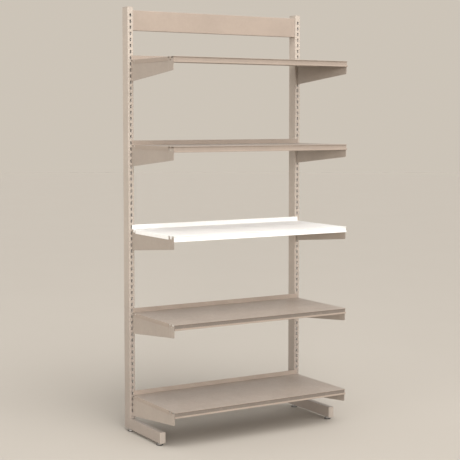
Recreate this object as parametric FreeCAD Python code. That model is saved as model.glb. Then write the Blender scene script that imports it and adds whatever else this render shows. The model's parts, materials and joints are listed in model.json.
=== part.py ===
import FreeCAD, Part
import math
import os

# Single-sided retail wall shelving unit, in millimetres.
# Frame: +Z up, the shelves face -Y, the origin is on the floor under the middle of the unit.
# Two slotted uprights stand on floor legs and are tied by a rail near their tops.
# Five shelves rest on pairs of hook-in brackets.

# ---- driving dimensions: whole unit ----
unit_height = 2130.0
bay_width = 1000.0            # centre to centre of the uprights
shelf_reach = 447.0           # from the front of the uprights to the front of the shelves
shelf_count = 5
shelf_spacing = 420.0
lowest_shelf_height = 188.0   # top surface of the lowest shelf
free_gap = 0.3                # air between pieces that move apart
overcut = 1.0                 # how far a cutting shape runs past the surface that it cuts
pick_tolerance = 0.01         # how near its plane an edge lies when it is picked for rounding

# ---- uprights ----
upright_width = 30.0
upright_depth = 60.0
tube_wall = 2.0
tube_corner_radius = 3.0
slot_pitch = 30.0
slot_width = 9.0
slot_height = 18.0
slot_count = 67
cap_thickness = 3.0
cap_plug_length = 15.0
cap_wall = 2.0
cap_plug_floor = 0.5          # plastic left between a cap's plate and the hollow of its plug
cap_edge_radius = 1.2

# ---- floor legs ----
leg_height = 55.0
leg_reach = 323.0             # in front of the uprights
leg_bottom_height = 13.0      # the levellers hold the leg this far above the floor
spigot_depth = 36.0
spigot_height = 120.0
spigot_corner_radius = 2.5
base_bolt_heights = (103.0, 153.0)

# ---- levellers ----
front_leveller_reach = 290.0  # in front of the uprights
rear_leveller_inset = 20.0    # behind the front of the uprights
stem_radius = 4.9
stem_bore_radius = 5.0
stem_hole_radius = 5.5        # in the leg's floor
stem_tip_chamfer = 1.0
stem_top_height = 48.0
pad_radius = 17.0
pad_thickness = 3.0
pad_edge_radius = 1.0
glide_radius = 13.5
glide_edge_radius = 1.5
jam_nut_flats = 17.0
jam_nut_thickness = 4.0
insert_radius = 9.0
insert_height = 12.0

# ---- top rail ----
rail_height = 100.0
rail_depth = 22.0
rail_sheet = 1.5
rail_return = 9.0
rail_drop = 17.0              # below the top of the unit
rail_setback = 5.0            # behind the front of the uprights
rail_end_plate = 3.0
rail_bolt_spacing = 50.0
rail_bolt_inset = 12.0        # behind the front of the rail

# ---- shelves ----
shelf_sheet = 1.0
shelf_end_gap = 0.5           # from the upright's centre plane to the end of the shelf
shelf_back_gap = 4.0
upstand_height = 22.0
channel_height = 28.0
channel_depth = 6.0
channel_lip = 9.0
end_flange_depth = 20.0
end_flange_front = 385.0      # the end flange stops here, short of the front corner
end_flange_back = 40.0
tab_width = 13.0
tab_depth = 15.0
tab_centres = (25.0, 409.0)   # in front of the uprights
turndown_root = 4.0           # flat part of an end fold, from the shelf's end
bend_inside = 1.0
hem_radius = 0.65             # centreline radius of the flattened front hem
stiffener_length = 940.0
stiffener_crown = 40.0
stiffener_foot = 14.0
stiffener_height = 18.0

# ---- brackets ----
plate_sheet = 2.0
plate_offset = 1.8            # from the upright's centre plane to the outside of the plate
nose_offset = 0.5             # the front of the plate is pressed outwards to here
nose_start = 391.0
nose_blend = 6.0
nose_bend_radius = 6.0
nose_clearance = 0.4          # between the nose and the back of the ticket channel
nose_drop = 8.0               # top of the nose below the shelf surface
plate_back_height = 107.0
plate_front_height = 64.0
plate_front_radius = 9.0
seat_width = 22.0
seat_front = 385.0
seat_back = 44.0
seat_turndown = 12.0          # plate height made together with the seat's bend
notch_depth = 10.0
notch_clearance = 1.5         # each side of a shelf's tab
plate_back_gap = 0.4          # between the plate and the upright
hook_count = 3
first_slot_drop = 20.0        # centre of a bracket's top slot below the shelf surface
hook_neck_height = 7.5
hook_tongue = 5.2             # how far a hook hangs down behind the slotted wall
hook_thickness = 3.0
hook_wall_gap = 0.4           # between a tongue and the inside of the slotted wall
hook_edge_radius = 1.2

# ---- fasteners ----
base_bolt_radius = 4.0
base_bolt_head_radius = 7.0
base_bolt_head_height = 4.4
base_bolt_dome = 2.64         # rounding of the head
base_bolt_socket_depth = 2.42
base_bolt_socket_flats = 5.0
base_bolt_shank = 14.0
bolt_play = 0.1               # radial, in the plain bore that stands for a thread
base_nut_flats = 13.0
base_nut_thickness = 6.5
rail_bolt_radius = 3.0
rail_bolt_head_flats = 10.0
rail_bolt_head_height = 4.0
rivet_nut_radius = 4.5
rivet_nut_flange_radius = 6.5
rivet_nut_flange = 1.0
rivet_nut_length = 14.0

# ---- worked-out places ----
unit_depth = shelf_reach + upright_depth + base_bolt_head_height
face_y = unit_depth / 2 - upright_depth - base_bolt_head_height   # front of the uprights
back_y = face_y + upright_depth
leg_top = leg_bottom_height + leg_height
upright_top = unit_height - cap_thickness
first_slot_height = lowest_shelf_height - first_slot_drop - (hook_count - 1) * slot_pitch
half_bay = bay_width / 2
shelf_length = bay_width - 2 * shelf_end_gap
slot_radius = slot_width / 2
plate_edge = plate_offset + plate_sheet
slot_end_rise = slot_radius - math.sqrt(slot_radius ** 2 - plate_edge ** 2)
middle_y = face_y + upright_depth / 2
leg_middle_height = leg_bottom_height + leg_height / 2
sides = {"left": -1.0, "right": 1.0}
shelf_heights = [lowest_shelf_height + i * shelf_spacing for i in range(shelf_count)]


def save(shape, name):
    """Writes one sub-part to its own file."""
    shape.exportStep("parts/" + name + ".step")


def vec(x, y, z):
    """Point or direction in space."""
    return FreeCAD.Vector(x, y, z)


def box(x0, x1, y0, y1, z0, z1):
    return Part.makeBox(x1 - x0, y1 - y0, z1 - z0, vec(x0, y0, z0))


def cylinder(radius, height, base, direction=vec(0, 0, 1)):
    return Part.makeCylinder(radius, height, base, direction)


def mirrored(shape):
    """The same shape on the other side of the unit."""
    return shape.mirror(vec(0, 0, 0), vec(1, 0, 0))


def edges_along(shape, axis):
    """The edges of a shape that set off along an axis."""
    return [e for e in shape.Edges if abs(e.tangentAt(0).dot(axis)) > 0.9]


def edges_at_top(shape, height):
    """The edges of a shape that lie at its top."""
    return [e for e in shape.Edges if e.BoundBox.ZMin > height - pick_tolerance]


def edges_across(shape, y):
    """The edges of a shape that lie in the upright plane at y."""
    return [e for e in shape.Edges
            if e.BoundBox.YMin > y - pick_tolerance and e.BoundBox.YMax < y + pick_tolerance]


def edges_across_along_x(shape, y):
    """The edges of a shape that lie in the upright plane at y and run along X."""
    return [e for e in edges_across(shape, y) if abs(e.tangentAt(0).x) > 0.9]


def rounded_bar_z(width, depth, radius, z0, z1, x=0.0, y=0.0):
    """Upright bar of rounded rectangular section, centred on x, y."""
    bar = box(x - width / 2, x + width / 2, y - depth / 2, y + depth / 2, z0, z1)
    return bar.makeFillet(radius, edges_along(bar, vec(0, 0, 1)))


def rounded_bar_y(width, height, radius, y0, y1, x=0.0, z=0.0):
    """Level bar of rounded rectangular section running front to back, centred on x, z."""
    bar = box(x - width / 2, x + width / 2, y0, y1, z - height / 2, z + height / 2)
    return bar.makeFillet(radius, edges_along(bar, vec(0, 1, 0)))


def hexagon(flats, height, base, direction=vec(0, 0, 1)):
    """Hexagonal prism standing on base along direction."""
    radius = flats / math.sqrt(3)
    corners = [vec(radius * math.cos(i * math.pi / 3), radius * math.sin(i * math.pi / 3), 0)
               for i in range(7)]
    prism = Part.Face(Part.makePolygon(corners)).extrude(vec(0, 0, height))
    prism.Placement = FreeCAD.Placement(base, FreeCAD.Rotation(vec(0, 0, 1), direction))
    return prism


def bent_strip(points, thickness, radii, to_space, run):
    """Folded sheet: a centreline of straight runs joined by bends, given thickness and run out.

    points are the sharp corners of the centreline, radii the centreline radius of each bend,
    to_space turns a flat point into a place in space and run is the sheet's direction and length.
    """
    flat = [FreeCAD.Vector(p[0], p[1], 0) for p in points]
    left = []
    right = []
    half = thickness / 2
    start_run = (flat[1] - flat[0]).normalize()
    start_side = vec(-start_run.y, start_run.x, 0) * half
    previous_left = flat[0] + start_side
    previous_right = flat[0] - start_side
    for i in range(1, len(flat)):
        before = (flat[i] - flat[i - 1]).normalize()
        side = vec(-before.y, before.x, 0) * half
        if i == len(flat) - 1:
            left.append(("line", previous_left, flat[i] + side))
            right.append(("line", previous_right, flat[i] - side))
            continue
        after = (flat[i + 1] - flat[i]).normalize()
        turn = math.atan2(before.x * after.y - before.y * after.x, before.dot(after))
        radius = radii[i - 1]
        reach = radius * math.tan(abs(turn) / 2)
        start = flat[i] - before * reach
        end = flat[i] + after * reach
        sign = 1.0 if turn > 0 else -1.0
        centre = start + vec(-before.y, before.x, 0) * radius * sign
        outward = (flat[i] - centre).normalize()
        next_side = vec(-after.y, after.x, 0) * half
        left_arc = (start + side, centre + outward * (radius - half * sign), end + next_side)
        right_arc = (start - side, centre + outward * (radius + half * sign), end - next_side)
        left += [("line", previous_left, left_arc[0]), ("arc", *left_arc)]
        right += [("line", previous_right, right_arc[0]), ("arc", *right_arc)]
        previous_left = left_arc[2]
        previous_right = right_arc[2]
    edges = []
    for kind, *ends in left + right:
        places = [to_space(p.x, p.y) for p in ends]
        if kind == "arc":
            edges.append(Part.Arc(*places).toShape())
        elif places[0].distanceToPoint(places[1]) > pick_tolerance:
            edges.append(Part.LineSegment(*places).toShape())
    for a, b in ((left[0][1], right[0][1]), (left[-1][-1], right[-1][-1])):
        edges.append(Part.LineSegment(to_space(a.x, a.y), to_space(b.x, b.y)).toShape())
    outline = Part.Wire(Part.__sortEdges__(edges))
    return Part.Face(outline).extrude(run)


# ---- uprights ----

def slot_cutter(height):
    """Round-ended slot through the front wall, on the upright's centre plane."""
    y0 = face_y - overcut
    deep = tube_wall + 2 * overcut
    straight = slot_height / 2 - slot_radius
    cutter = box(-slot_radius, slot_radius, y0, y0 + deep, height - straight, height + straight)
    for end in (-straight, straight):
        cutter = cutter.fuse(cylinder(slot_radius, deep, vec(0, y0, height + end), vec(0, 1, 0)))
    return cutter.removeSplitter()


def make_upright():
    """Slotted rectangular tube, centred on x = 0, with its rail holes on the +X wall."""
    outer = rounded_bar_z(upright_width, upright_depth, tube_corner_radius,
                          leg_top, upright_top, 0, middle_y)
    inner = rounded_bar_z(upright_width - 2 * tube_wall, upright_depth - 2 * tube_wall,
                          tube_corner_radius - tube_wall,
                          leg_top - overcut, upright_top + overcut, 0, middle_y)
    cutters = [slot_cutter(first_slot_height + i * slot_pitch) for i in range(slot_count)]
    for height in base_bolt_heights:
        hole = vec(0, back_y - tube_wall - overcut, height)
        cutters.append(cylinder(base_bolt_radius, tube_wall + 2 * overcut, hole, vec(0, 1, 0)))
    for height in rail_bolt_heights():
        hole = vec(upright_width / 2 - tube_wall - overcut, rail_bolt_y(), height)
        cutters.append(cylinder(rivet_nut_radius, tube_wall + 2 * overcut, hole, vec(1, 0, 0)))
    return outer.cut(inner).cut(Part.makeCompound(cutters))


def make_upright_cap():
    """Push-in plastic cap closing the top of an upright."""
    top = rounded_bar_z(upright_width, upright_depth, tube_corner_radius,
                        upright_top, unit_height, 0, middle_y)
    top = top.makeFillet(cap_edge_radius, edges_at_top(top, unit_height))
    plug_width = upright_width - 2 * tube_wall - 2 * free_gap
    plug_depth = upright_depth - 2 * tube_wall - 2 * free_gap
    plug = box(-plug_width / 2, plug_width / 2, middle_y - plug_depth / 2, middle_y + plug_depth / 2,
               upright_top - cap_plug_length, upright_top)
    hollow = box(-plug_width / 2 + cap_wall, plug_width / 2 - cap_wall,
                 middle_y - plug_depth / 2 + cap_wall, middle_y + plug_depth / 2 - cap_wall,
                 upright_top - cap_plug_length - overcut, upright_top - cap_plug_floor)
    return top.fuse(plug.cut(hollow)).removeSplitter()


# ---- floor legs and levellers ----

def leveller_places():
    return {"front": face_y - front_leveller_reach, "rear": face_y + rear_leveller_inset}


def make_leg():
    """Level tube under the upright and out to the front, with holes for the levellers."""
    y0 = face_y - leg_reach + cap_thickness
    y1 = back_y - cap_thickness
    outer = rounded_bar_y(upright_width, leg_height, tube_corner_radius, y0, y1, 0, leg_middle_height)
    inner = rounded_bar_y(upright_width - 2 * tube_wall, leg_height - 2 * tube_wall,
                          tube_corner_radius - tube_wall, y0 - overcut, y1 + overcut, 0, leg_middle_height)
    leg = outer.cut(inner)
    for y in leveller_places().values():
        hole = vec(0, y, leg_bottom_height - overcut)
        leg = leg.cut(cylinder(stem_hole_radius, tube_wall + 2 * overcut, hole))
    return leg


def make_leg_cap(at_front):
    """Push-in plastic cap closing one end of a leg."""
    outward = -1.0 if at_front else 1.0
    tube_end = face_y - leg_reach + cap_thickness if at_front else back_y - cap_thickness
    outer_face_y = tube_end + outward * cap_thickness
    plate_ys = sorted((tube_end, outer_face_y))
    plate = rounded_bar_y(upright_width, leg_height, tube_corner_radius, *plate_ys, 0, leg_middle_height)
    plate = plate.makeFillet(cap_edge_radius, edges_across(plate, outer_face_y))
    half_width = upright_width / 2 - tube_wall - free_gap
    half_height = leg_height / 2 - tube_wall - free_gap
    plug_length = cap_plug_length - cap_thickness
    plug_ys = sorted((tube_end, tube_end - outward * plug_length))
    plug = box(-half_width, half_width, *plug_ys,
               leg_middle_height - half_height, leg_middle_height + half_height)
    hollow_ys = sorted((tube_end - outward * cap_plug_floor, tube_end - outward * (plug_length + overcut)))
    hollow = box(-half_width + cap_wall, half_width - cap_wall, *hollow_ys,
                 leg_middle_height - half_height + cap_wall, leg_middle_height + half_height - cap_wall)
    return plate.fuse(plug.cut(hollow)).removeSplitter()


def spigot_back_y():
    return back_y - tube_wall - free_gap


def make_spigot():
    """Short tube welded on the leg, up inside the back of the upright."""
    y = spigot_back_y() - spigot_depth / 2
    width = upright_width - 2 * tube_wall - 2 * free_gap
    outer = rounded_bar_z(width, spigot_depth, spigot_corner_radius,
                          leg_top, leg_top + spigot_height, 0, y)
    inner = rounded_bar_z(width - 2 * tube_wall, spigot_depth - 2 * tube_wall,
                          spigot_corner_radius - tube_wall,
                          leg_top - overcut, leg_top + spigot_height + overcut, 0, y)
    spigot = outer.cut(inner)
    for height in base_bolt_heights:
        hole = vec(0, spigot_back_y() - tube_wall - overcut, height)
        spigot = spigot.cut(cylinder(base_bolt_radius, tube_wall + 2 * overcut, hole, vec(0, 1, 0)))
    return spigot


def make_base_bolt(height):
    """Button-head socket bolt through the back of the upright into the spigot's nut."""
    head_end_y = back_y + base_bolt_head_height
    head = cylinder(base_bolt_head_radius, base_bolt_head_height, vec(0, back_y, height), vec(0, 1, 0))
    head = head.makeFillet(base_bolt_dome, edges_across(head, head_end_y))
    socket = hexagon(base_bolt_socket_flats, base_bolt_head_height,
                     vec(0, head_end_y - base_bolt_socket_depth, height), vec(0, 1, 0))
    shank = cylinder(base_bolt_radius - bolt_play, base_bolt_shank,
                     vec(0, back_y - base_bolt_shank, height), vec(0, 1, 0))
    return head.cut(socket).fuse(shank).removeSplitter()


def make_base_nut(height):
    """Hexagonal weld nut on the inside of the spigot's back wall."""
    base = vec(0, spigot_back_y() - tube_wall - base_nut_thickness, height)
    nut = hexagon(base_nut_flats, base_nut_thickness, base, vec(0, 1, 0))
    return nut.cut(cylinder(base_bolt_radius, base_nut_thickness + 2 * overcut,
                            base - vec(0, overcut, 0), vec(0, 1, 0)))


def make_leveller(y):
    """Threaded stem with a round glide moulded on its foot."""
    glide_top = leg_bottom_height - jam_nut_thickness - free_gap
    glide = cylinder(glide_radius, glide_top - pad_thickness, vec(0, y, pad_thickness))
    glide = glide.makeFillet(glide_edge_radius, edges_at_top(glide, glide_top))
    stem = cylinder(stem_radius, stem_top_height - pad_thickness, vec(0, y, pad_thickness))
    stem = stem.makeChamfer(stem_tip_chamfer, edges_at_top(stem, stem_top_height))
    return glide.fuse(stem).removeSplitter()


def make_leveller_pad(y):
    """Rubber sole under the glide."""
    pad = cylinder(pad_radius, pad_thickness, vec(0, y, 0))
    return pad.makeFillet(pad_edge_radius, edges_at_top(pad, pad_thickness))


def make_jam_nut(y):
    """Thin lock nut, tight against the underside of the leg."""
    base = vec(0, y, leg_bottom_height - jam_nut_thickness)
    return hexagon(jam_nut_flats, jam_nut_thickness, base).cut(
        cylinder(stem_bore_radius, jam_nut_thickness + 2 * overcut, base - vec(0, 0, overcut)))


def make_insert(y):
    """Threaded bush welded on the inside of the leg's floor."""
    base = vec(0, y, leg_bottom_height + tube_wall)
    return cylinder(insert_radius, insert_height, base).cut(
        cylinder(stem_bore_radius, insert_height + 2 * overcut, base - vec(0, 0, overcut)))


# ---- top rail ----

def rail_top():
    return unit_height - rail_drop


def rail_bolt_heights():
    middle = rail_top() - rail_height / 2
    return (middle - rail_bolt_spacing / 2, middle + rail_bolt_spacing / 2)


def rail_bolt_y():
    return face_y + rail_setback + rail_bolt_inset


def rail_half_length():
    return half_bay - upright_width / 2 - rivet_nut_flange


def make_rail():
    """Folded channel, open at the back, between the two end plates."""
    half_sheet = rail_sheet / 2
    front = face_y + rail_setback + half_sheet
    back = face_y + rail_setback + rail_depth - half_sheet
    top = rail_top() - half_sheet
    bottom = rail_top() - rail_height + half_sheet
    outline = [(back, bottom + rail_return), (back, bottom), (front, bottom),
               (front, top), (back, top), (back, top - rail_return)]
    half_length = rail_half_length() - rail_end_plate
    bend = bend_inside + half_sheet
    return bent_strip(outline, rail_sheet, [bend] * 4,
                      lambda y, z: vec(-half_length, y, z), vec(2 * half_length, 0, 0))


def make_rail_end_plate():
    """Welded plate on the left end of the rail, holed for its two bolts."""
    x0 = -rail_half_length()
    y0 = face_y + rail_setback
    plate = box(x0, x0 + rail_end_plate, y0, y0 + rail_depth, rail_top() - rail_height, rail_top())
    for height in rail_bolt_heights():
        plate = plate.cut(cylinder(rail_bolt_radius + free_gap, rail_end_plate + 2 * overcut,
                                   vec(x0 - overcut, rail_bolt_y(), height), vec(1, 0, 0)))
    return plate


def make_rail_bolt(height):
    """Hexagon bolt through the left end plate into the upright's rivet nut."""
    x0 = -rail_half_length() + rail_end_plate
    head = hexagon(rail_bolt_head_flats, rail_bolt_head_height, vec(x0, rail_bolt_y(), height), vec(1, 0, 0))
    length = rail_end_plate + rivet_nut_length
    shank = cylinder(rail_bolt_radius - bolt_play, length,
                     vec(x0 - length, rail_bolt_y(), height), vec(1, 0, 0))
    return head.fuse(shank).removeSplitter()


def make_rivet_nut(height):
    """Flanged nut set in the inner wall of the left upright."""
    wall_x = -half_bay + upright_width / 2
    start = vec(wall_x + rivet_nut_flange, rail_bolt_y(), height)
    flange = cylinder(rivet_nut_flange_radius, rivet_nut_flange, start, vec(-1, 0, 0))
    body = cylinder(rivet_nut_radius, rivet_nut_length, start, vec(-1, 0, 0))
    bore = cylinder(rail_bolt_radius, rivet_nut_length + 2 * overcut,
                    start + vec(overcut, 0, 0), vec(-1, 0, 0))
    return flange.fuse(body).cut(bore).removeSplitter()


# ---- shelves ----

def make_shelf(height):
    """Folded shelf: upstand, top, hemmed front edge and ticket channel, end flanges and tabs."""
    half_sheet = shelf_sheet / 2
    end_x = shelf_length / 2
    back = face_y - shelf_back_gap - half_sheet
    front = face_y - shelf_reach + half_sheet
    recess = face_y - shelf_reach + channel_depth + half_sheet
    top = height - half_sheet
    bottom = height - channel_height + half_sheet
    hem_end = top - 2 * hem_radius
    outline = [(back, height + upstand_height), (back, top), (front, top), (front, hem_end),
               (recess, hem_end), (recess, bottom), (front, bottom),
               (front, bottom + channel_lip - half_sheet)]
    bend = bend_inside + half_sheet
    radii = [bend, hem_radius, hem_radius, bend, bend, bend]
    shelf = bent_strip(outline, shelf_sheet, radii,
                       lambda y, z: vec(-end_x, y, z), vec(shelf_length, 0, 0))
    for side in (-1.0, 1.0):
        for y_far, y_near, depth in end_turndowns():
            square_edge = box(end_x - turndown_root, end_x + overcut, face_y - y_far, face_y - y_near,
                              height - shelf_sheet - overcut, height + overcut)
            if side < 0:
                square_edge = mirrored(square_edge)
            shelf = shelf.cut(square_edge).fuse(end_turndown(side, y_far, y_near, depth, height))
    return shelf.removeSplitter()


def end_turndowns():
    """Front edge, back edge and depth of each part folded down at a shelf's ends."""
    parts = [(end_flange_front, end_flange_back, end_flange_depth)]
    for centre in tab_centres:
        parts.append((centre + tab_width / 2, centre - tab_width / 2, tab_depth))
    return parts


def end_turndown(side, y_far, y_near, depth, height):
    """Sheet folded down at one end of the shelf between two distances from the uprights."""
    half_sheet = shelf_sheet / 2
    outer = shelf_length / 2 - half_sheet
    inner = shelf_length / 2 - turndown_root
    flat = [(side * inner, height - half_sheet), (side * outer, height - half_sheet),
            (side * outer, height - depth)]
    y0 = face_y - y_far
    return bent_strip(flat, shelf_sheet, [bend_inside + half_sheet],
                      lambda x, z: vec(x, y0, z), vec(0, y_far - y_near, 0))


def make_stiffener(height):
    """Hat-section stiffener welded under the middle of a shelf."""
    half_sheet = shelf_sheet / 2
    middle = face_y - shelf_back_gap - (shelf_reach - shelf_back_gap) / 2
    top = height - shelf_sheet - half_sheet
    low = height - shelf_sheet - stiffener_height + half_sheet
    half_crown = stiffener_crown / 2
    outline = [(middle - half_crown - stiffener_foot, top), (middle - half_crown, top),
               (middle - half_crown, low), (middle + half_crown, low),
               (middle + half_crown, top), (middle + half_crown + stiffener_foot, top)]
    bend = bend_inside + half_sheet
    return bent_strip(outline, shelf_sheet, [bend] * 4,
                      lambda y, z: vec(-stiffener_length / 2, y, z), vec(stiffener_length, 0, 0))


# ---- brackets ----

def plate_outline(height):
    """Side view of a bracket without its hooks, as a solid far wider than the plate."""
    def at(reach, drop):
        return vec(-seat_width, face_y - reach, height - drop)
    front = shelf_reach - channel_depth - shelf_sheet - nose_clearance
    notch_near = tab_centres[1] - tab_width / 2 - notch_clearance
    notch_far = tab_centres[1] + tab_width / 2 + notch_clearance
    back = plate_back_gap
    seat_drop = shelf_sheet + free_gap
    notch_floor = nose_drop + notch_depth
    corners = [at(back, nose_drop), at(seat_back, nose_drop),
               at(seat_back, seat_drop), at(seat_front, seat_drop),
               at(seat_front, nose_drop), at(notch_near, nose_drop),
               at(notch_near, notch_floor), at(notch_far, notch_floor),
               at(notch_far, nose_drop), at(front, nose_drop),
               at(front, plate_front_height), at(back, plate_back_height), at(back, nose_drop)]
    solid = Part.Face(Part.makePolygon(corners)).extrude(vec(2 * seat_width, 0, 0))
    low_corner = min(edges_across_along_x(solid, face_y - front), key=lambda e: e.CenterOfMass.z)
    return solid.makeFillet(plate_front_radius, [low_corner])


def hook_outline(slot_middle):
    """Side view of one hook: a neck through the slot and a tongue hanging behind the wall."""
    neck_bottom = slot_middle - slot_height / 2 + slot_end_rise + free_gap
    neck_top = neck_bottom + hook_neck_height
    tongue_y = face_y + tube_wall + hook_wall_gap
    neck = box(-seat_width, seat_width, face_y - plate_back_gap - overcut, tongue_y + hook_thickness,
               neck_bottom, neck_top)
    tongue = box(-seat_width, seat_width, tongue_y, tongue_y + hook_thickness,
                 neck_bottom - hook_tongue, neck_top)
    hook = neck.fuse(tongue).removeSplitter()
    return hook.makeFillet(hook_edge_radius, edges_across_along_x(hook, tongue_y + hook_thickness))


def make_bracket(height):
    """Left-hand bracket on the upright's centre plane x = 0: plate, seat flange and three hooks."""
    middle = plate_offset + plate_sheet / 2
    nose_middle = nose_offset + plate_sheet / 2
    plan = [(middle, face_y + upright_depth / 2), (middle, face_y - nose_start + nose_blend / 2),
            (nose_middle, face_y - nose_start - nose_blend / 2), (nose_middle, face_y - shelf_reach)]
    sheet = bent_strip(plan, plate_sheet, [nose_bend_radius, nose_bend_radius],
                       lambda x, y: vec(x, y, height - 2 * plate_back_height),
                       vec(0, 0, 2 * plate_back_height))
    outline = plate_outline(height)
    for i in range(hook_count):
        outline = outline.fuse(hook_outline(height - first_slot_drop - i * slot_pitch))
    plate = sheet.common(outline)
    seat_top = height - shelf_sheet - free_gap
    seat_middle = seat_top - plate_sheet / 2
    seat_flat = [(middle, seat_top - seat_turndown), (middle, seat_middle),
                 (plate_offset + seat_width, seat_middle)]
    seat = bent_strip(seat_flat, plate_sheet, [bend_inside + plate_sheet / 2],
                      lambda x, z: vec(x, face_y - seat_front, z), vec(0, seat_front - seat_back, 0))
    corner = box(plate_offset - overcut, plate_edge, face_y - seat_front, face_y - seat_back,
                 seat_top - seat_turndown, seat_top + overcut)
    return plate.cut(corner).fuse(seat).removeSplitter()


# ---- the whole unit ----

def write_side(name, side):
    """Everything that belongs to one upright: the upright, its leg and their caps."""
    centre = vec(side * half_bay, 0, 0)
    upright = make_upright()
    if side > 0:
        upright = mirrored(upright)
    one_side = {
        "upright": upright,
        "upright_cap": make_upright_cap(),
        "base_leg": make_leg(),
        "leg_front_cap": make_leg_cap(True),
        "leg_rear_cap": make_leg_cap(False),
        "leg_spigot": make_spigot(),
    }
    for part_name, shape in one_side.items():
        save(shape.translated(centre), part_name + "_" + name)
    for place, y in leveller_places().items():
        save(make_leveller(y).translated(centre), "leveller_" + place + "_" + name)
        save(make_leveller_pad(y).translated(centre), "leveller_pad_" + place + "_" + name)
    plate = make_rail_end_plate()
    save(plate if side < 0 else mirrored(plate), "rail_end_plate_" + name)


def write_shared_fasteners():
    """Identical fasteners on both sides, one node for each kind."""
    jam_nuts = []
    inserts = []
    base_bolts = []
    base_nuts = []
    for side in sides.values():
        centre = vec(side * half_bay, 0, 0)
        for y in leveller_places().values():
            jam_nuts.append(make_jam_nut(y).translated(centre))
            inserts.append(make_insert(y).translated(centre))
        for height in base_bolt_heights:
            base_bolts.append(make_base_bolt(height).translated(centre))
            base_nuts.append(make_base_nut(height).translated(centre))
    rail_bolts = [make_rail_bolt(height) for height in rail_bolt_heights()]
    rivet_nuts = [make_rivet_nut(height) for height in rail_bolt_heights()]
    rail_bolts += [mirrored(bolt) for bolt in rail_bolts]
    rivet_nuts += [mirrored(nut) for nut in rivet_nuts]
    save(Part.makeCompound(jam_nuts), "leveller_jam_nuts")
    save(Part.makeCompound(inserts), "leveller_inserts")
    save(Part.makeCompound(base_bolts), "base_bolts")
    save(Part.makeCompound(base_nuts), "base_weld_nuts")
    save(Part.makeCompound(rail_bolts), "rail_bolts")
    save(Part.makeCompound(rivet_nuts), "rail_rivet_nuts")


def write_level(number, height):
    """One shelf with its stiffener and its two brackets; level 1 is the lowest."""
    name = str(number)
    save(make_shelf(height), "shelf_" + name)
    save(make_stiffener(height), "shelf_stiffener_" + name)
    bracket = make_bracket(height).translated(vec(-half_bay, 0, 0))
    save(bracket, "bracket_left_" + name)
    save(mirrored(bracket), "bracket_right_" + name)


os.makedirs("parts", exist_ok=True)
for side_name, side_sign in sides.items():
    write_side(side_name, side_sign)
write_shared_fasteners()
save(make_rail(), "top_rail")
for level, surface in enumerate(shelf_heights, start=1):
    write_level(level, surface)
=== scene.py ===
import json
import math

import bmesh
import bpy
from mathutils import Matrix, Vector


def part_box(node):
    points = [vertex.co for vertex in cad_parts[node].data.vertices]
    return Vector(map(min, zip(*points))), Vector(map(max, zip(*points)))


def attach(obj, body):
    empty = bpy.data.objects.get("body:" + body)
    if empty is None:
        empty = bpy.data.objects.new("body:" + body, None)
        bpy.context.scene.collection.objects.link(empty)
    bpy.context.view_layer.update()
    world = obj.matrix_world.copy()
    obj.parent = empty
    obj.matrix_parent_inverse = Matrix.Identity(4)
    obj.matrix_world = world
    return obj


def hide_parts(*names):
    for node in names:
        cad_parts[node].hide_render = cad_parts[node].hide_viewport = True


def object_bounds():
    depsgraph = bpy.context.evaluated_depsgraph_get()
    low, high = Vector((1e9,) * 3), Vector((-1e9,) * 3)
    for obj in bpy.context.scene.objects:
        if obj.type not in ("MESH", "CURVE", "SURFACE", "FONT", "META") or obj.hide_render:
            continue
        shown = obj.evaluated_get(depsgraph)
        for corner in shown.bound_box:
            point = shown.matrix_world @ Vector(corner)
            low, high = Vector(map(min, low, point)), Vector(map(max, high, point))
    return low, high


# Single-sided retail shelving unit: materials, turned and threaded fittings, welds, light and camera.
# Everything is in metres in the CAD frame: +Z up, the shelves face -Y, the floor is z = 0.

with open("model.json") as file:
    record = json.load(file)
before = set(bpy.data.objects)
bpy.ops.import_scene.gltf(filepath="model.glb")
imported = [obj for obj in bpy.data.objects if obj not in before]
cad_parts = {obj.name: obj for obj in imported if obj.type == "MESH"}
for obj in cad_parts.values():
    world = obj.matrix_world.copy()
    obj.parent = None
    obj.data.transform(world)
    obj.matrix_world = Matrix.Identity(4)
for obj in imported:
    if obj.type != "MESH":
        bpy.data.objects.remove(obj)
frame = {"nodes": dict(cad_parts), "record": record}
cad_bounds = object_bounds()
nodes = frame["nodes"]
mounts = {mount["name"]: mount for mount in frame["record"]["mounts"]}

MM = 0.001
SIDES = ("left", "right")
PLACES = ("front", "rear")
LEVELS = range(1, 6)
BRIGHT_LEVEL = 3              # the one shelf with a clean white coat
CHANNEL_HEIGHT = 28.0 * MM    # the ticket channel on a shelf's front edge
CHANNEL_DEPTH = 6.0 * MM

# ---- colours, linear ----
GREIGE = (0.465, 0.403, 0.347)
# the frame's greige with painted shade, for its lower part
GREIGE_LOW_PAINTED_SHADE = (0.330, 0.279, 0.241)
# a darker copy of the frame's greige, as painted shade on the shelves and the rail
GREIGE_SHADED_COPY = (0.354, 0.288, 0.239)
GREIGE_BRACKET = (0.375, 0.318, 0.271)
CAP_GREIGE = (0.380, 0.328, 0.283)
WHITE = (0.920, 0.905, 0.885)
# painted shade for the recess of the ticket channels
CHANNEL_PAINTED_SHADE = (0.150, 0.128, 0.108)
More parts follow.
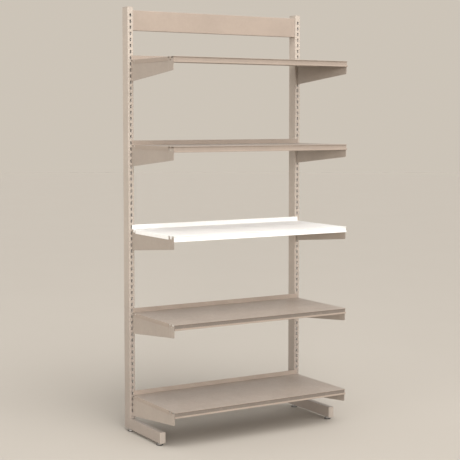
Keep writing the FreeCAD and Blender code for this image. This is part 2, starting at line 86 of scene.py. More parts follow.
# painted light for the inside walls of the uprights
TUBE_PAINTED_LIGHT = (0.950, 0.900, 0.850)
BARE_STEEL = (0.300, 0.295, 0.290)
DUST = (0.520, 0.480, 0.430)
SCUFF = (0.160, 0.145, 0.130)
ZINC = (0.740, 0.740, 0.735)
ZINC_DULL = (0.560, 0.560, 0.550)
GLIDE_GREY = (0.400, 0.375, 0.350)
GLIDE_DULL = (0.310, 0.288, 0.266)
RUBBER = (0.018, 0.018, 0.019)
FLOOR_PALE = (0.526, 0.485, 0.432)
FLOOR_PALER = (0.538, 0.497, 0.444)
CEILING = (0.640, 0.630, 0.616)
HORIZON = (0.607, 0.552, 0.478)       # the tone that the far floor has in the picture
WARM_LIGHT = (1.0, 0.985, 0.965)
PLAIN_LIGHT = (1.0, 0.990, 0.975)

# ---- where the coat changes, and where painted shade and painted light go ----
TUBE_SKIN = 1.0 * MM          # how deep the outer paint reaches into a wall
FRONT_SKIN = 1.2 * MM
# limits of the painted shade in the ticket channels
CHANNEL_DARK_TOP = 2.5 * MM   # below the shelf's surface
CHANNEL_DARK_FLOOR = 0.8 * MM
CHANNEL_DARK_WALL = 0.6 * MM
DARKENING_TOP = 1.1           # painted shade: the frame is drawn darker from here down
DARKENING_BOTTOM = 0.05
SCUFFS_TOP = 0.11
SCUFFS_BOTTOM = 0.01


# ---- shader nodes ----

def new_material(name):
    """A material with its tree and its Principled shader."""
    material = bpy.data.materials.new(name)
    material.use_nodes = True
    tree = material.node_tree
    return material, tree, tree.nodes["Principled BSDF"]


def put(tree, socket, value):
    """Joins a socket to another, or sets it."""
    if isinstance(value, bpy.types.NodeSocket):
        tree.links.new(value, socket)
    elif hasattr(value, "__len__") and len(value) == 3 and socket.type == "RGBA":
        socket.default_value = (*value, 1.0)
    else:
        socket.default_value = value


def add(tree, kind, inputs=None, **settings):
    """A new node with its settings and inputs."""
    made = tree.nodes.new(kind)
    for name, value in settings.items():
        setattr(made, name, value)
    for key, value in (inputs or {}).items():
        put(tree, made.inputs[key], value)
    return made


def maths(tree, operation, first, second=0.0):
    """One arithmetic step."""
    return add(tree, "ShaderNodeMath", {0: first, 1: second}, operation=operation).outputs[0]


def product(tree, first, *others):
    """Values multiplied together."""
    for other in others:
        first = maths(tree, "MULTIPLY", first, other)
    return first


def total(tree, first, *others):
    """Values added together."""
    for other in others:
        first = maths(tree, "ADD", first, other)
    return first


def noise(tree, place, scale, detail=2.0, roughness=0.5):
    """Fractal noise, about 0 to 1; scale is features per metre."""
    made = add(tree, "ShaderNodeTexNoise",
               {"Vector": place, "Scale": scale, "Detail": detail, "Roughness": roughness})
    return made.outputs["Fac"]


def ramp(tree, value, low, high, to_low=0.0, to_high=1.0):
    """Smooth step of a value from one range to another."""
    made = add(tree, "ShaderNodeMapRange",
               {"Value": value, "From Min": low, "From Max": high, "To Min": to_low, "To Max": to_high},
               interpolation_type="SMOOTHSTEP")
    return made.outputs["Result"]


def mixed(tree, share, first, second):
    """Two colours mixed by a share."""
    made = add(tree, "ShaderNodeMix", data_type="RGBA")     # its colour sockets are 6, 7 and output 2
    put(tree, made.inputs[0], share)
    put(tree, made.inputs[6], first)
    put(tree, made.inputs[7], second)
    return made.outputs[2]


def scaled(colour, factor):
    """A colour made lighter or darker."""
    return tuple(channel * factor for channel in colour)


def mottled(tree, share, colour, darkest, lightest):
    """A colour that wanders between a darker and a lighter tone of itself."""
    return mixed(tree, share, scaled(colour, darkest), scaled(colour, lightest))


def object_place(tree):
    """The point on the surface in the piece's own metres."""
    return add(tree, "ShaderNodeTexCoord").outputs["Object"]


def stretched(tree, place, stretch):
    """Coordinates squeezed along each axis, for streaks."""
    return add(tree, "ShaderNodeMapping", {"Vector": place, "Scale": stretch}).outputs[0]


def rounded_normal(tree, radius):
    """The normal as if sharp edges had a small radius."""
    return add(tree, "ShaderNodeBevel", {"Radius": radius}, samples=4).outputs["Normal"]


def along_axes(tree, vector):
    """The three parts of a vector, by name."""
    return add(tree, "ShaderNodeSeparateXYZ", {0: vector}).outputs


def edge_mask(tree, soft_normal):
    """Near 1 on sharp edges and 0 on flats."""
    true_normal = add(tree, "ShaderNodeNewGeometry").outputs["Normal"]
    together = add(tree, "ShaderNodeVectorMath", {0: soft_normal, 1: true_normal},
                   operation="DOT_PRODUCT").outputs["Value"]
    return ramp(tree, maths(tree, "SUBTRACT", 1.0, together), 0.02, 0.22)


def facing_up(tree):
    """1 where the surface faces the ceiling."""
    normal = add(tree, "ShaderNodeNewGeometry").outputs["Normal"]
    return ramp(tree, along_axes(tree, normal)["Z"], 0.75, 0.95)


def bumped(tree, height, base_normal):
    """A normal from a height in metres, over another normal."""
    return add(tree, "ShaderNodeBump",
               {"Height": height, "Distance": 1.0, "Strength": 1.0, "Normal": base_normal}).outputs["Normal"]


def slot_wear(tree, place):
    """1 around the rims of the bracket slots, where the coat is rubbed."""
    pattern = mounts["bracket_slots_left"]
    pitch = pattern["dims"]["spacing_y_mm"] * MM
    radius = pattern["dims"]["hole_r_mm"] * MM
    straight = pattern["dims"]["slot_length_mm"] * MM / 2 - radius
    axes = along_axes(tree, place)
    across = maths(tree, "SUBTRACT", maths(tree, "ABSOLUTE", axes["X"]), abs(pattern["pos_m"][0]))
    from_first = maths(tree, "SUBTRACT", axes["Z"], pattern["pos_m"][2] - pitch / 2)
    along = maths(tree, "PINGPONG", from_first, pitch / 2)
    past_straight = maths(tree, "MAXIMUM", maths(tree, "SUBTRACT", along, straight), 0.0)
    squares = total(tree, product(tree, across, across), product(tree, past_straight, past_straight))
    distance = maths(tree, "SUBTRACT", maths(tree, "SQRT", squares), radius)
    return ramp(tree, distance, 1.4 * MM, 0.1 * MM)


def within(tree, value, low, high):
    """1 where a value lies between two limits."""
    return product(tree, maths(tree, "GREATER_THAN", value, low), maths(tree, "LESS_THAN", value, high))


def tube_inside(tree, place):
    """1 on the inner walls of the uprights, which get painted light so that the slots look faint."""
    low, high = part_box("upright_left")
    axes = along_axes(tree, place)
    from_middle = total(tree, maths(tree, "ABSOLUTE", axes["X"]), (low.x + high.x) / 2)
    clear_of_sides = maths(tree, "LESS_THAN", maths(tree, "ABSOLUTE", from_middle),
                           (high.x - low.x) / 2 - TUBE_SKIN)
    behind_front = within(tree, axes["Y"], low.y + FRONT_SKIN, high.y - TUBE_SKIN)
    return product(tree, clear_of_sides, behind_front)


def channel_inside(tree, place):
    """1 in the ticket channels of the two lowest shelves, which get painted shade to look darker than the
    rest.
    """
    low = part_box("shelf_1")[0]
    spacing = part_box("shelf_2")[0].z - low.z
    axes = along_axes(tree, place)
    below_surface = maths(tree, "SUBTRACT", low.z + CHANNEL_HEIGHT, axes["Z"])
    drop = maths(tree, "FLOORED_MODULO", below_surface, spacing)
    inside_height = within(tree, drop, CHANNEL_DARK_TOP, CHANNEL_HEIGHT - CHANNEL_DARK_FLOOR)
    inside_depth = within(tree, axes["Y"], low.y + FRONT_SKIN, low.y + CHANNEL_DEPTH + CHANNEL_DARK_WALL)
    near_floor = maths(tree, "LESS_THAN", axes["Z"], low.z + 1.5 * spacing)
    return product(tree, inside_height, near_floor, inside_depth)


def towards_floor(tree, place):
    """0 at chest height and 1 at the floor, for painted shade that draws the frame darker low down."""
    return ramp(tree, along_axes(tree, place)["Z"], DARKENING_TOP, DARKENING_BOTTOM)


def powder_coat(name, colour, wear, dust, scuffs_and_low_shade=False, slots=False, channel=False):
    """Satin powder coat on steel: orange peel, faint mottling, rubbed edges and a little dust; where asked,
    also painted shade low down and in ticket channels, and painted light inside uprights.
    """
    material, tree, shader = new_material(name)
    place = object_place(tree)
    cloud = noise(tree, place, 7.0, 3.0)
    patch = noise(tree, place, 55.0, 3.0, 0.6)
    speck = noise(tree, place, 1500.0, 1.0)
    tone = total(tree, product(tree, cloud, 0.5), product(tree, patch, 0.3), product(tree, speck, 0.2))
    clouds = ramp(tree, tone, 0.3, 0.7)
    coat = mottled(tree, clouds, colour, 0.93, 1.05)
    if scuffs_and_low_shade:
        # painted shade: the frame is drawn darker towards the floor
        coat = mixed(tree, towards_floor(tree, place), coat, mottled(tree, clouds, GREIGE_LOW_PAINTED_SHADE, 0.93, 1.05))

    soft_normal = rounded_normal(tree, 0.5 * MM)
    edges = edge_mask(tree, soft_normal)
    if slots:
        edges = maths(tree, "MAXIMUM", edges, product(tree, slot_wear(tree, place), 0.5))
    broken = ramp(tree, noise(tree, place, 160.0, 4.0, 0.65), 0.46, 0.60)
    worn = product(tree, edges, broken, wear)
    coat = mixed(tree, worn, coat, BARE_STEEL)

    drifts = ramp(tree, noise(tree, place, 18.0, 4.0), 0.35, 0.75)
    settled = product(tree, facing_up(tree), drifts, dust)
    coat = mixed(tree, settled, coat, DUST)
    if scuffs_and_low_shade:
        coat = mixed(tree, floor_scuffs(tree, place), coat, SCUFF)
    if slots:
        # painted light inside the uprights, so the slots look faint
        coat = mixed(tree, tube_inside(tree, place), coat, TUBE_PAINTED_LIGHT)
    if channel:
        # painted shade in the ticket channel recesses of the lowest shelves
        channel_shade = product(tree, channel_inside(tree, place), ramp(tree, patch, 0.2, 0.5, 0.50, 0.75))
        coat = mixed(tree, channel_shade, coat, CHANNEL_PAINTED_SHADE)
    put(tree, shader.inputs["Base Color"], coat)

    rub = noise(tree, place, 70.0, 4.0, 0.6)
    roughness = total(tree, ramp(tree, rub, 0.3, 0.7, 0.38, 0.47), product(tree, settled, 0.25))
    put(tree, shader.inputs["Roughness"], roughness)

    sheet_wave = product(tree, noise(tree, place, 6.0, 1.0), 0.2 * MM)
    peel = product(tree, noise(tree, place, 480.0, 2.0), 0.045 * MM)
    grain = product(tree, speck, 0.012 * MM)
    height = maths(tree, "SUBTRACT", total(tree, sheet_wave, peel, grain), product(tree, worn, 0.05 * MM))
    put(tree, shader.inputs["Normal"], bumped(tree, height, soft_normal))
    return material


def floor_scuffs(tree, place):
    """Faint marks that fade out a hand's breadth above the floor."""
    low = ramp(tree, along_axes(tree, place)["Z"], SCUFFS_TOP, SCUFFS_BOTTOM)
    streaks = ramp(tree, noise(tree, stretched(tree, place, (70.0, 45.0, 330.0)), 1.0, 3.0, 0.6), 0.62, 0.74)
    grime = ramp(tree, noise(tree, place, 34.0, 4.0, 0.6), 0.35, 0.8)
    marks = total(tree, product(tree, streaks, 0.22), product(tree, grime, 0.10))
    return product(tree, low, marks)


def moulded_plastic(name, colour):
    """Satin polyethylene with the fine grain of a spark-eroded mould and rubbed rims."""
    material, tree, shader = new_material(name)
    place = object_place(tree)
    flow = noise(tree, stretched(tree, place, (60.0, 60.0, 24.0)), 1.0, 3.0)
    grain = noise(tree, place, 2200.0, 2.0)
    tone = total(tree, product(tree, flow, 0.6), product(tree, grain, 0.4))
    body = mottled(tree, ramp(tree, tone, 0.3, 0.7), colour, 0.92, 1.06)
    soft_normal = rounded_normal(tree, 0.4 * MM)
    rubbed = product(tree, edge_mask(tree, soft_normal), ramp(tree, noise(tree, place, 240.0, 3.0), 0.4, 0.6))
    body = mixed(tree, product(tree, rubbed, 0.3), body, scaled(colour, 1.25))
    put(tree, shader.inputs["Base Color"], body)
    put(tree, shader.inputs["Roughness"], ramp(tree, grain, 0.3, 0.7, 0.44, 0.56))
    height = product(tree, grain, 0.03 * MM)
    put(tree, shader.inputs["Normal"], bumped(tree, height, soft_normal))
    return material


def zinc_plate(name, bright, dull):
    """Zinc-plated steel: fine turning marks and a cloudy, duller bloom."""
    material, tree, shader = new_material(name)
    shader.inputs["Metallic"].default_value = 0.55
    place = object_place(tree)
    bloom = ramp(tree, noise(tree, place, 220.0, 4.0, 0.6), 0.35, 0.68)
    put(tree, shader.inputs["Base Color"], mixed(tree, bloom, bright, dull))
    turning = noise(tree, stretched(tree, place, (300.0, 300.0, 2600.0)), 1.0, 2.0)
    roughness = total(tree, ramp(tree, turning, 0.3, 0.7, 0.24, 0.36), product(tree, bloom, 0.12))
    put(tree, shader.inputs["Roughness"], roughness)
    soft_normal = rounded_normal(tree, 0.25 * MM)
    height = product(tree, turning, 0.012 * MM)
    put(tree, shader.inputs["Normal"], bumped(tree, height, soft_normal))
    return material


def sole_rubber(name):
    """Matt black rubber with a fine cut grain and patches of floor dust."""
    material, tree, shader = new_material(name)
    place = object_place(tree)
    grain = noise(tree, place, 900.0, 3.0, 0.6)
    rubbed = ramp(tree, noise(tree, place, 120.0, 3.0), 0.45, 0.75)
    tone = mottled(tree, grain, RUBBER, 0.7, 1.7)
    tone = mixed(tree, product(tree, rubbed, 0.18), tone, DUST)
    put(tree, shader.inputs["Base Color"], tone)
    put(tree, shader.inputs["Roughness"], ramp(tree, grain, 0.3, 0.7, 0.72, 0.9))
    height = product(tree, grain, 0.06 * MM)
    put(tree, shader.inputs["Normal"], bumped(tree, height, rounded_normal(tree, 0.4 * MM)))
    return material


def pale_floor(name):
    """Plain pale studio floor with a hardly visible cloud in it."""
    material, tree, shader = new_material(name)
    place = object_place(tree)
    shader.inputs["Specular IOR Level"].default_value = 0.0
    cloud = noise(tree, place, 1.2, 4.0)
    put(tree, shader.inputs["Base Color"], mixed(tree, cloud, FLOOR_PALE, FLOOR_PALER))
    shader.inputs["Roughness"].default_value = 1.0
    return material


looks = {
    "upright": powder_coat("upright_powder_coat", GREIGE, 0.35, 0.15, scuffs_and_low_shade=True, slots=True),
    "frame": powder_coat("frame_powder_coat", GREIGE, 0.55, 0.25, scuffs_and_low_shade=True),
    # shelves and rail take a darker copy of the greige as painted shade
    "shelf": powder_coat("shelf_powder_coat", GREIGE_SHADED_COPY, 0.45, 0.20, channel=True),
    "rail": powder_coat("rail_powder_coat", GREIGE_SHADED_COPY, 0.45, 0.25),
    "bracket": powder_coat("bracket_powder_coat", GREIGE_BRACKET, 0.45, 0.20),
    "white": powder_coat("white_powder_coat", WHITE, 0.12, 0.03),
    "plastic": moulded_plastic("moulded_caps", CAP_GREIGE),
    "zinc": zinc_plate("zinc_plated_steel", ZINC, ZINC_DULL),
    "glide": zinc_plate("zinc_plated_glides", GLIDE_GREY, GLIDE_DULL),
    "rubber": sole_rubber("black_sole_rubber"),
}


def look_of(node):
    """Which finish a CAD node has, from the first start that fits; longer starts come first."""
    starts = {"upright_cap": "plastic", "upright": "upright", "leg_front_cap": "plastic",
              "leg_rear_cap": "plastic", "leveller_pad": "rubber", "leveller": "glide",
              "base_bolts": "zinc", "base_weld_nuts": "zinc", "rail_bolts": "zinc",
              "rail_rivet_nuts": "zinc", "bracket": "bracket", "shelf": "shelf", "top_rail": "rail",
              "rail_end_plate": "rail"}
    if node in (f"shelf_{BRIGHT_LEVEL}", f"shelf_stiffener_{BRIGHT_LEVEL}"):
        return "white"
    for start, look in starts.items():
        if node.startswith(start):
            return look
    return "frame"


def dress(piece, look):
    """Gives a piece one of the finishes on all its faces."""
    piece.data.materials.clear()
    piece.data.materials.append(looks[look])


for node_name, node_object in nodes.items():
    dress(node_object, look_of(node_name))


# ---- turned and threaded fittings ----

WELDED = 0.002 * MM           # points nearer than this are one
CHAMFER_START = 0.475         # radius of a chamfer's circle, as a share of the width across flats
CHAMFER_ANGLE = math.radians(30)
HEXAGON_SEGMENTS = 48
FITTING_CREASE = 20           # degrees between faces from which an edge stays sharp
LEVELLER_CREASE = 32
SPOT_CREASE = 40
BEAD_CREASE = 60


def new_piece(name, mesh_maker, crease, body, look, replaced=()):
    """A piece from mesh code, on its body, with its finish."""
    bm = bmesh.new()
    mesh_maker(bm)
    bmesh.ops.remove_doubles(bm, verts=bm.verts, dist=WELDED)
    bmesh.ops.recalc_face_normals(bm, faces=bm.faces)
    mesh = bpy.data.meshes.new(name)
    bm.to_mesh(mesh)
    bm.free()
    piece = bpy.data.objects.new(name, mesh)
    bpy.context.scene.collection.objects.link(piece)
    dress(piece, look)
    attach(piece, body)
    if replaced:
        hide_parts(*replaced)
    smooth_by_angle(piece, crease)


def smooth_by_angle(piece, degrees):
    """Smooth shading that keeps edges sharper than an angle."""
    limit = math.radians(degrees)
    bm = bmesh.new()
    bm.from_mesh(piece.data)
    for face in bm.faces:
        face.smooth = True
    for edge in bm.edges:
        edge.smooth = edge.calc_face_angle(0.0) < limit
    bm.to_mesh(piece.data)
    bm.free()


def join_rows(bm, low, high):
    """Faces between two rings of the same count."""
    count = len(low)
    for i in range(count):
        j = (i + 1) % count
        bm.faces.new((low[i], low[j], high[j], high[i]))


def turned(bm, rings, segments, to_space):
    """Skin through rings about an axis. Each ring has its radius and its height as functions of the turn."""
    rows = []
    for radius, height in rings:
        row = []
        for i in range(segments):
            turn = i / segments
            angle = 2 * math.pi * turn
            r = radius(turn)
            point = Vector((r * math.cos(angle), r * math.sin(angle), height(turn)))
            row.append(bm.verts.new(to_space @ point))
        rows.append(row)
    for low, high in zip(rows, rows[1:]):
        join_rows(bm, low, high)
    return rows


def flat_ring(radius, height):
    """A plain circle for turned()."""
    return (lambda turn: radius), (lambda turn: height)


def close_end(bm, row, centre):
    """Fan from a ring to a point on the axis."""
    tip = bm.verts.new(centre)
    for i in range(len(row)):
        bm.faces.new((row[i], row[(i + 1) % len(row)], tip))


THREAD_SLOPE = 2.4            # steepness of a thread's flanks
THREAD_CREST = 0.15           # share of the depth cut off to leave flat crests
RINGS_PER_PITCH = 6


def thread_ring(major, depth, pitch, height, room):
    """Ring of a screw thread at one height; room is how far the chamfers let it stand out there."""
    def radius(turn):
        phase = (height / pitch - turn) % 1.0
        flank = min(1.0, max(0.0, THREAD_SLOPE * abs(phase - 0.5) - THREAD_CREST))
        return min(major - depth * flank, room)
    return radius, lambda turn: height


def thread_rings(major, depth, pitch, bottom, top, chamfer):
    """Rings of a screw thread between two heights, with both ends chamfered."""
    count = int((top - bottom) / (pitch / RINGS_PER_PITCH))
    rings = []
    for i in range(count + 1):
        height = bottom + (top - bottom) * i / count
        room = major - chamfer + min(height - bottom, top - height)
        rings.append(thread_ring(major, depth, pitch, height, min(major, room)))
    return rings


def hexagon_radius(flats):
    """Radius of a hexagon's outline against the turn."""
    return lambda turn: flats / 2 / math.cos((turn * 6 % 1.0 - 0.5) * math.pi / 3)


def hexagon_height(flats, face, step):
    """Height of a hexagon's chamfered corners: face on the flats, falling by step times the rise."""
    outline = hexagon_radius(flats)
    start = CHAMFER_START * flats
    return lambda turn: face + step * max(0.0, outline(turn) - start) * math.tan(CHAMFER_ANGLE)


def solids_of(node):
    """Boxes of the separate solids that one CAD node holds."""
    bm = bmesh.new()
    bm.from_mesh(nodes[node].data)
    bmesh.ops.remove_doubles(bm, verts=bm.verts, dist=0.001 * MM)
    left = set(bm.verts)
    boxes = []
    while left:
        island = [left.pop()]
        low = island[0].co.copy()
        high = island[0].co.copy()
        while island:
            vertex = island.pop()
            low = Vector(map(min, low, vertex.co))
            high = Vector(map(max, high, vertex.co))
            for edge in vertex.link_edges:
                other = edge.other_vert(vertex)
                if other in left:
                    left.remove(other)
                    island.append(other)
        boxes.append((low, high))
    bm.free()
    return sorted(boxes, key=lambda corners: tuple(corners[0]))


THREAD_PITCH = 1.5 * MM
THREAD_DEPTH = 0.75 * MM
STEM_RADIUS = 4.9 * MM
STEM_CHAMFER = 1.0 * MM
STEM_SEGMENTS = 28
STEM_SUNK = 1.5 * MM          # how deep the stem stands in its glide
GLIDE_EDGE = 1.5 * MM         # radius of the glide's upper edge
GLIDE_EDGE_STEPS = 4
GLIDE_GAP = 0.3 * MM          # air between a glide and its jam nut
GLIDE_FLUTES = 24
FLUTE_DEPTH = 0.4 * MM


def leveller_mesh(low, high, glide_top):
    """Fluted glide with a threaded stem standing in it."""
    centre = Matrix.Translation(((low.x + high.x) / 2, (low.y + high.y) / 2, 0.0))
    rim = (high.x - low.x) / 2

    def fluted(turn):
        return rim - FLUTE_DEPTH * (0.5 - 0.5 * math.cos(2 * math.pi * GLIDE_FLUTES * turn))

    def build(bm):
        rings = [flat_ring(rim - 0.5 * MM, low.z), flat_ring(rim, low.z + 0.5 * MM),
                 flat_ring(rim, low.z + 0.8 * MM),
                 (fluted, lambda turn: low.z + 1.1 * MM),
                 (fluted, lambda turn: glide_top - GLIDE_EDGE - 0.3 * MM),
                 flat_ring(rim, glide_top - GLIDE_EDGE)]
        for i in range(1, GLIDE_EDGE_STEPS + 1):
            angle = math.pi / 2 * i / GLIDE_EDGE_STEPS
            rings.append(flat_ring(rim - GLIDE_EDGE * (1 - math.cos(angle)),
                                   glide_top - GLIDE_EDGE * (1 - math.sin(angle))))
        rows = turned(bm, rings, 4 * GLIDE_FLUTES, centre)
        close_end(bm, rows[0], centre @ Vector((0, 0, low.z)))
        close_end(bm, rows[-1], centre @ Vector((0, 0, glide_top)))

        foot = glide_top - STEM_SUNK
        rings = thread_rings(STEM_RADIUS, THREAD_DEPTH, THREAD_PITCH, foot, high.z, STEM_CHAMFER)
        rows = turned(bm, rings, STEM_SEGMENTS, centre)
        close_end(bm, rows[0], centre @ Vector((0, 0, foot)))
        close_end(bm, rows[-1], centre @ Vector((0, 0, high.z)))

    return build


def make_levellers():
    """The four levelling feet, in place of their plain CAD solids."""
    glide_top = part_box("leveller_jam_nuts")[0].z - GLIDE_GAP
    for place in PLACES:
        for side in SIDES:
            node = f"leveller_{place}_{side}"
            low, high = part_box(node)
            new_piece(f"threaded_{node}", leveller_mesh(low, high, glide_top), LEVELLER_CREASE, node,
                      "glide", [node])


JAM_NUT_FLATS = 17.0 * MM
JAM_NUT_BORE = 5.0 * MM
BORE_CHAMFER = 0.5 * MM


def nut_ring_set(flats, bore, bottom, top):
    """Rings round the section of a nut, chamfered on both faces."""
    outline = hexagon_radius(flats)
    flat_circle = CHAMFER_START * flats
    return [flat_ring(bore + BORE_CHAMFER, bottom), flat_ring(flat_circle, bottom),
            (outline, hexagon_height(flats, bottom, 1.0)), (outline, hexagon_height(flats, top, -1.0)),
            flat_ring(flat_circle, top), flat_ring(bore + BORE_CHAMFER, top),
            flat_ring(bore, top - BORE_CHAMFER), flat_ring(bore, bottom + BORE_CHAMFER)]


def make_jam_nuts():
    """Lock nuts with chamfered corners, in place of plain hexagons."""
    def build(bm):
        for low, high in solids_of("leveller_jam_nuts"):
            centre = Matrix.Translation(((low.x + high.x) / 2, (low.y + high.y) / 2, 0.0))
            rings = nut_ring_set(JAM_NUT_FLATS, JAM_NUT_BORE, low.z, high.z)
            rows = turned(bm, rings, HEXAGON_SEGMENTS, centre)
            join_rows(bm, rows[-1], rows[0])

    new_piece("chamfered_jam_nuts", build, FITTING_CREASE, "frame", "zinc", ["leveller_jam_nuts"])


RAIL_BOLT_FLATS = 10.0 * MM
RAIL_BOLT_SHANK = 2.9 * MM
RAIL_BOLT_TIP = 0.6 * MM
RAIL_BOLT_HEAD = 4.0 * MM
WASHER_FACE = 0.35 * MM


def make_rail_bolts():
    """Hexagon bolts with a washer face and a chamfered crown, in place of plain ones."""
    def build(bm):
        outline = hexagon_radius(RAIL_BOLT_FLATS)
        for low, high in solids_of("rail_bolts"):
            length = high.x - low.x
            inward = 1.0 if (low.x + high.x) < 0 else -1.0
            start = low.x if inward > 0 else high.x
            axis = Vector((inward, 0.0, 0.0)).to_track_quat("Z", "Y").to_matrix().to_4x4()
            middle = Vector((start, (low.y + high.y) / 2, (low.z + high.z) / 2))
            place = Matrix.Translation(middle) @ axis
            head = length - RAIL_BOLT_HEAD
            face = CHAMFER_START * RAIL_BOLT_FLATS
            rings = [flat_ring(RAIL_BOLT_SHANK - RAIL_BOLT_TIP, 0.0),
                     flat_ring(RAIL_BOLT_SHANK, RAIL_BOLT_TIP), flat_ring(RAIL_BOLT_SHANK, head),
                     flat_ring(face, head), flat_ring(face, head + WASHER_FACE),
                     (outline, lambda turn: head + WASHER_FACE),
                     (outline, hexagon_height(RAIL_BOLT_FLATS, length, -1.0)), flat_ring(face, length)]
            rows = turned(bm, rings, HEXAGON_SEGMENTS, place)
            close_end(bm, rows[0], place @ Vector((0, 0, 0)))
            close_end(bm, rows[-1], place @ Vector((0, 0, length)))

    new_piece("chamfered_rail_bolts", build, FITTING_CREASE, "frame", "zinc", ["rail_bolts"])


# ---- welds ----

RAIL_SHEET = 1.5 * MM
BEAD_RADIUS = 1.7 * MM
BEAD_STEP = 0.8 * MM
BEAD_RIPPLE = 3.2 * MM
BEAD_SWELL = 0.13             # of its radius, in each ripple
BEAD_END = 0.55               # of its radius, where a bead starts and stops
BEAD_SEGMENTS = 10
SPOT_RADIUS = 3.2 * MM
SPOT_SPACING = 94.0 * MM
SPOT_SEGMENTS = 20
SPOT_PROFILE = ((0.0, -0.2), (0.0, 0.05), (0.3, 0.25), (0.7, 0.22), (1.1, 0.08))   # mm inwards and down
SPOT_MIDDLE = 0.06 * MM
STIFFENER_SHEET = 1.0 * MM
STIFFENER_FOOT = 14.0 * MM


def weld_bead(bm, start, end):
    """A rippled bead along one straight run, closed at both ends."""
    run = end - start
    count = max(4, int(run.length / BEAD_STEP))
    aim = run.to_track_quat("Z", "X").to_matrix().to_4x4()
    place = Matrix.Translation(start) @ aim
    rings = []
    for i in range(count + 1):
        along = run.length * i / count
        radius = BEAD_RADIUS * (1.0 + BEAD_SWELL * math.sin(2 * math.pi * along / BEAD_RIPPLE))
        near_end = min(along, run.length - along)
        rings.append(flat_ring(radius * min(1.0, BEAD_END + near_end / BEAD_RIPPLE), along))
    rows = turned(bm, rings, BEAD_SEGMENTS, place)
    close_end(bm, rows[0], start)
    close_end(bm, rows[-1], end)


def make_rail_welds():
    """Beads that hold the end plates in the rail, seen from behind."""
    low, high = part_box("top_rail")
    inner_front = low.y + RAIL_SHEET
    top = high.z - RAIL_SHEET
    bottom = low.z + RAIL_SHEET
    back = high.y - 2 * RAIL_SHEET

    def build(bm):
        for x in (low.x, high.x):
            weld_bead(bm, Vector((x, back, top)), Vector((x, inner_front, top)))
            weld_bead(bm, Vector((x, inner_front, top)), Vector((x, inner_front, bottom)))
            weld_bead(bm, Vector((x, inner_front, bottom)), Vector((x, back, bottom)))

    new_piece("rail_end_welds", build, BEAD_CREASE, "frame", "frame")


def make_spot_welds(level):
    """Marks of the spot welds that hold a stiffener under its shelf."""
    low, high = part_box(f"shelf_stiffener_{level}")
    under = high.z - STIFFENER_SHEET
    spots = int((high.x - low.x) / SPOT_SPACING)
    first = -SPOT_SPACING * (spots - 1) / 2
    rings = [flat_ring(SPOT_RADIUS - inwards * MM, drop * MM) for inwards, drop in SPOT_PROFILE]
    upside_down = Matrix.Rotation(math.pi, 4, "X")

    def build(bm):
        for y in (low.y + STIFFENER_FOOT / 2, high.y - STIFFENER_FOOT / 2):
            for i in range(spots):
                place = Matrix.Translation((first + i * SPOT_SPACING, y, under)) @ upside_down
                rows = turned(bm, rings, SPOT_SEGMENTS, place)
                close_end(bm, rows[0], place @ Vector((0, 0, SPOT_PROFILE[0][1] * MM)))
                close_end(bm, rows[-1], place @ Vector((0, 0, SPOT_MIDDLE)))

    slot, look = ("bright_shelf_paint", "white") if level == BRIGHT_LEVEL else ("shelf_paint", "shelf")
    new_piece(f"spot_welds_{level}", build, SPOT_CREASE, f"shelf_{level}", look)


make_levellers()
make_jam_nuts()
make_rail_bolts()
make_rail_welds()
for level_number in LEVELS:
    make_spot_welds(level_number)


# ---- floor, light and camera ----

FLOOR_RADIUS = 30.0
FLOOR_SEGMENTS = 64
CAMERA_PLACE = Vector((-3.202, -5.208, 1.576))
CAMERA_YAW = 31.254           # degrees to the right of straight ahead
CAMERA_PITCH = 4.156          # degrees down
CAMERA_LENS = 94.66
CAMERA_SENSOR = 36.0
CAMERA_SHIFT = -0.05
CEILING_FROM = 0.14           # upward part of the direction in which the horizon's tone ends
CEILING_TO = 0.45
OVERHEAD_PLACE = (-0.5, -1.9, 4.6)
OVERHEAD_SIZE = 2.6
OVERHEAD_POWER = 50.0         # watts
SUNS = (                      # name, degrees up, degrees left of straight ahead, width, strength, colour
    ("main", 50.0, 5.0, 45.0, 1.30, WARM_LIGHT),
    ("front", 7.0, 31.0, 14.0, 1.55, PLAIN_LIGHT),
    ("left", 15.0, 75.0, 40.0, 0.60, PLAIN_LIGHT),
    ("right", 24.0, -48.0, 60.0, 0.55, PLAIN_LIGHT),
)


def make_floor():
    """A large round pale floor."""
    bm = bmesh.new()
    bmesh.ops.create_circle(bm, cap_ends=True, segments=FLOOR_SEGMENTS, radius=FLOOR_RADIUS)
    mesh = bpy.data.meshes.new("floor")
    bm.to_mesh(mesh)
    bm.free()
    floor = bpy.data.objects.new("floor", mesh)
    floor.data.materials.append(pale_floor("pale_floor"))
    bpy.context.scene.collection.objects.link(floor)


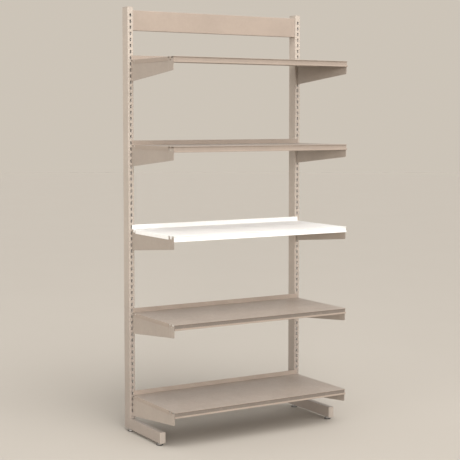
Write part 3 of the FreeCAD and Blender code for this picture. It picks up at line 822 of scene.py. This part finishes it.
def soft_light(name, place, aim, size, power, colour):
    """A square soft box at a place, aimed at a point."""
    data = bpy.data.lights.new(name, "AREA")
    data.shape = "SQUARE"
    data.size = size
    data.energy = power
    data.color = colour
    light = bpy.data.objects.new(name, data)
    light.location = place
    light.rotation_mode = "QUATERNION"
    light.rotation_quaternion = (Vector(aim) - Vector(place)).to_track_quat("-Z", "Y")
    bpy.context.scene.collection.objects.link(light)


def make_world():
    """A pale ceiling that passes smoothly into surroundings of the floor's own tone."""
    world = bpy.data.worlds.new("studio")
    world.use_nodes = True
    tree = world.node_tree
    direction = add(tree, "ShaderNodeTexCoord").outputs["Generated"]
    height = along_axes(tree, direction)["Z"]
    colour = mixed(tree, ramp(tree, height, CEILING_FROM, CEILING_TO), HORIZON, CEILING)
    background = tree.nodes["Background"]
    put(tree, background.inputs["Color"], colour)
    background.inputs["Strength"].default_value = 1.0
    bpy.context.scene.world = world


def soft_sun(name, elevation, azimuth, width, strength, colour):
    """Even light from far away, from a wide soft patch."""
    data = bpy.data.lights.new(name, "SUN")
    data.angle = math.radians(width)
    data.energy = strength
    data.color = colour
    light = bpy.data.objects.new(name, data)
    light.rotation_euler = (math.radians(90.0 - elevation), 0.0, -math.radians(azimuth))
    bpy.context.scene.collection.objects.link(light)


def make_camera():
    """The camera, a little to the left of the unit and at eye height."""
    data = bpy.data.cameras.new("camera")
    data.lens = CAMERA_LENS
    data.sensor_width = CAMERA_SENSOR
    data.shift_y = CAMERA_SHIFT
    camera = bpy.data.objects.new("camera", data)
    camera.location = CAMERA_PLACE
    camera.rotation_euler = (math.radians(90.0 - CAMERA_PITCH), 0.0, -math.radians(CAMERA_YAW))
    bpy.context.scene.collection.objects.link(camera)
    bpy.context.scene.camera = camera


middle = (cad_bounds[0] + cad_bounds[1]) / 2
make_floor()
make_world()
for sun in SUNS:
    soft_sun(*sun)
soft_light("overhead", OVERHEAD_PLACE, middle, OVERHEAD_SIZE, OVERHEAD_POWER, WARM_LIGHT)
make_camera()
bpy.context.scene.view_settings.view_transform = "Standard"
